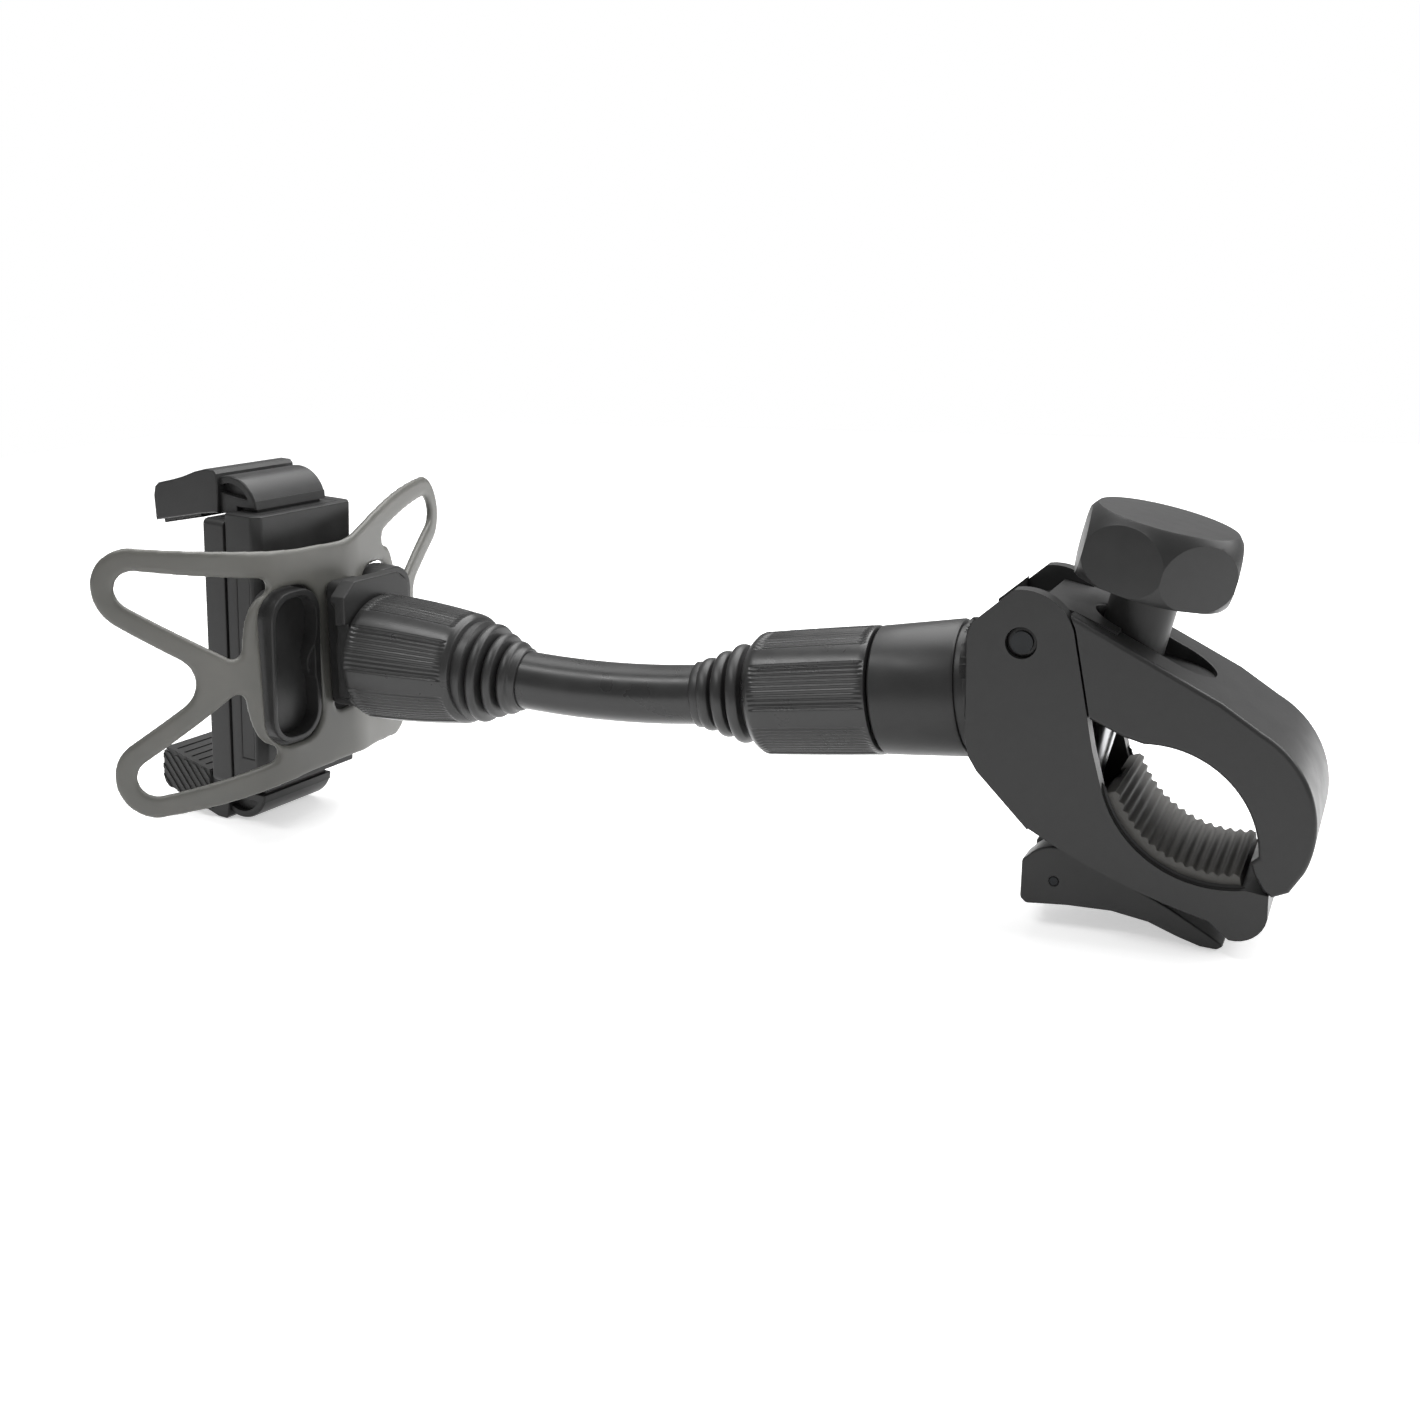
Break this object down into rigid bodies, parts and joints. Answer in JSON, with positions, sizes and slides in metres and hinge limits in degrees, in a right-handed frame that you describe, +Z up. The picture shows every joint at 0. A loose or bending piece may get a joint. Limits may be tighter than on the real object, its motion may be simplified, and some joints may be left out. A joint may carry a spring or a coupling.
{
  "type": "golf cart device mount",
  "caption": "Phone holder with lips and a silicone web, on a bent arm with ball joints, carried by a quick-release bar clamp with a knob and a cam lever.",
  "frame": {"origin": "centre of the bar that the clamp's closed mouth grips, halfway across the clamp's width", "axes": "+X along the arm from the phone holder to the clamp, +Y along the gripped bar, +Z up; the mount rests on the holder's foot and the cam lever's tip"},
  "size_m": [0.3755, 0.1497, 0.1234],
  "materials": {
    "shell_plastic": "moulded black nylon, fine matt grain",
    "collar_plastic": "moulded black nylon, satin on the ribs",
    "knob_plastic": "moulded black nylon, worn matt",
    "boot_rubber": "soft black rubber",
    "pad_rubber": "dark grey ribbed rubber",
    "silicone": "smooth grey silicone",
    "steel": "zinc-plated steel",
    "dark_steel": "blackened steel pin",
    "spring_steel": "bright spring wire",
    "brass": "turned brass",
    "zinc": "die-cast zinc, bright"
  },
  "bodies": {
    "clamp_body": {"clamp_body": "shell_plastic", "pivot_pin": "dark_steel", "lower_pad": "pad_rubber"},
    "upper_jaw": {"upper_jaw": "shell_plastic"},
    "clamp_rod": {"clamp_rod": "steel"},
    "cam_lever": {"cam_lever": "shell_plastic", "cam_pin": "dark_steel"},
    "thrust_washer": {"thrust_washer": "steel"},
    "knob": {"knob": "knob_plastic", "knob_insert": "brass"},
    "clamp_collar": {"clamp_collar": "collar_plastic"},
    "clamp_seat": {"clamp_seat_ring": "zinc"},
    "clamp_boot": {"clamp_bellows": "boot_rubber"},
    "arm": {"clamp_ball": "zinc", "arm": "shell_plastic", "holder_ball": "zinc"},
    "holder_boot": {"holder_bellows": "boot_rubber"},
    "holder_seat": {"holder_seat_ring": "zinc"},
    "holder": {"mount_bracket": "shell_plastic", "bracket_screws": "steel", "silicone_web": "silicone", "holder_back": "shell_plastic", "holder_front": "shell_plastic", "front_screws": "steel", "bottom_jaw": "shell_plastic", "bottom_jaw_pad": "pad_rubber", "guide_rods": "steel", "jaw_springs": "spring_steel"},
    "holder_collar": {"holder_collar": "collar_plastic"},
    "top_jaw": {"top_jaw": "shell_plastic", "top_jaw_pad": "pad_rubber"}
  },
  "joints": [
    {"name": "knob_turn", "type": "hinge", "parent": "thrust_washer", "child": "knob", "pos_m": [-0.02054, 0, 0.03547], "axis": [0.2164, 0, 0.9763], "range_deg": [0, 4320.1]},
    {"name": "knob_rise", "type": "slide", "parent": "clamp_rod", "child": "thrust_washer", "axis": [0.2164, 0, 0.9763], "range_m": [0, 0.015]},
    {"name": "jaw_open", "type": "hinge", "parent": "clamp_body", "child": "upper_jaw", "pos_m": [-0.045, 0, 0.0405], "axis": [0, -1, 0], "range_deg": [0, 23.7]},
    {"name": "cam_lever_swing", "type": "hinge", "parent": "clamp_rod", "child": "cam_lever", "pos_m": [-0.0345, 0, -0.0275], "axis": [0, 1, 0], "range_deg": [0, 85]},
    {"name": "rod_lift", "type": "slide", "parent": "clamp_body", "child": "clamp_rod", "axis": [0.2164, 0, 0.9763], "range_m": [0, 0.003]},
    {"name": "clamp_collar_twist", "type": "hinge", "parent": "clamp_body", "child": "clamp_collar", "pos_m": [-0.117, 0, 0.0144], "axis": [-0.9914, 0, -0.1305], "range_deg": [0, 120]},
    {"name": "clamp_ball_spin", "type": "hinge", "parent": "clamp_body", "child": "clamp_seat", "pos_m": [-0.117, 0, 0.0144], "axis": [-0.9914, 0, -0.1305], "continuous": true},
    {"name": "clamp_ball_tilt", "type": "hinge", "parent": "clamp_seat", "child": "clamp_boot", "pos_m": [-0.117, 0, 0.0144], "axis": [-0.1239, 0.3155, 0.9408], "range_deg": [-24.85, 15.15], "deforming": ["clamp_bellows"]},
    {"name": "clamp_arm_swivel", "type": "hinge", "parent": "clamp_boot", "child": "arm", "pos_m": [-0.117, 0, 0.0144], "axis": [-0.9914, -0.0802, -0.1036], "continuous": true},
    {"name": "holder_arm_swivel", "type": "hinge", "parent": "arm", "child": "holder_boot", "pos_m": [-0.22931, -0.00646, 0.0132], "axis": [0.996, 0.034, -0.0824], "continuous": true},
    {"name": "holder_ball_tilt", "type": "hinge", "parent": "holder_boot", "child": "holder_seat", "pos_m": [-0.22931, -0.00646, 0.0132], "axis": [0.0536, 0.5098, 0.8586], "range_deg": [-10.75, 29.25], "deforming": ["holder_bellows"]},
    {"name": "holder_spin", "type": "hinge", "parent": "holder_seat", "child": "holder", "pos_m": [-0.22931, -0.00646, 0.0132], "axis": [0.9945, -0.1045, 0], "continuous": true},
    {"name": "holder_collar_twist", "type": "hinge", "parent": "holder", "child": "holder_collar", "pos_m": [-0.22931, -0.00646, 0.0132], "axis": [0.9945, -0.1045, 0], "range_deg": [0, 120]},
    {"name": "top_jaw_slide", "type": "slide", "parent": "holder", "child": "top_jaw", "axis": [0.052, -0.0055, 0.9986], "range_m": [0, 0.024], "stiffness_N_per_m": 60, "springref_m": -0.04, "deforming": ["jaw_springs"]}
  ],
  "couplings": [
    {"joint": "knob_turn", "follows": "knob_rise", "rad_per_m": 5026.5},
    {"joint": "jaw_open", "follows": "knob_rise", "rad_per_m": 27.548},
    {"joint": "cam_lever_swing", "follows": "rod_lift", "rad_per_m": 494.49}
  ]
}
